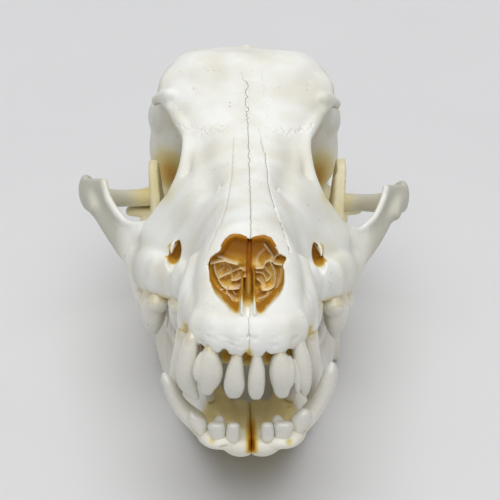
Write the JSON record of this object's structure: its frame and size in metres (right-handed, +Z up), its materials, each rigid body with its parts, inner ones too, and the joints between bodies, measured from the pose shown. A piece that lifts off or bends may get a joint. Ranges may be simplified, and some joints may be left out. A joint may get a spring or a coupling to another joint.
{
  "type": "dog skull",
  "caption": "Life-size dog skull with teeth, cranium on both halves of the lower jaw, mouth a little open, resting on the jaw.",
  "frame": {"origin": "on the table, under the middle of the skull's outer box", "axes": "+Z up, the front teeth point to -Y, +X to the right for a viewer who faces the teeth"},
  "size_m": [0.1108, 0.2048, 0.095],
  "materials": {
    "bone": "cleaned, whitened dry bone, satin",
    "thin_bone": "thin amber bone inside the nose, satin",
    "jaw_bone": "cleaned dry bone with yellow hollows, satin"
  },
  "bodies": {
    "root": {"braincase": "bone", "frontal": "bone", "occipital": "bone", "skull_base": "bone", "maxilla": "bone", "premaxilla": "bone", "nasal_bones": "bone", "zygomatic_arch_left": "bone", "zygomatic_arch_right": "bone", "tympanic_bulla_left": "bone", "tympanic_bulla_right": "bone", "turbinate_left": "thin_bone", "turbinate_right": "thin_bone", "nasal_septum": "thin_bone", "mandible_left": "jaw_bone", "mandible_right": "jaw_bone"}
  },
  "joints": []
}
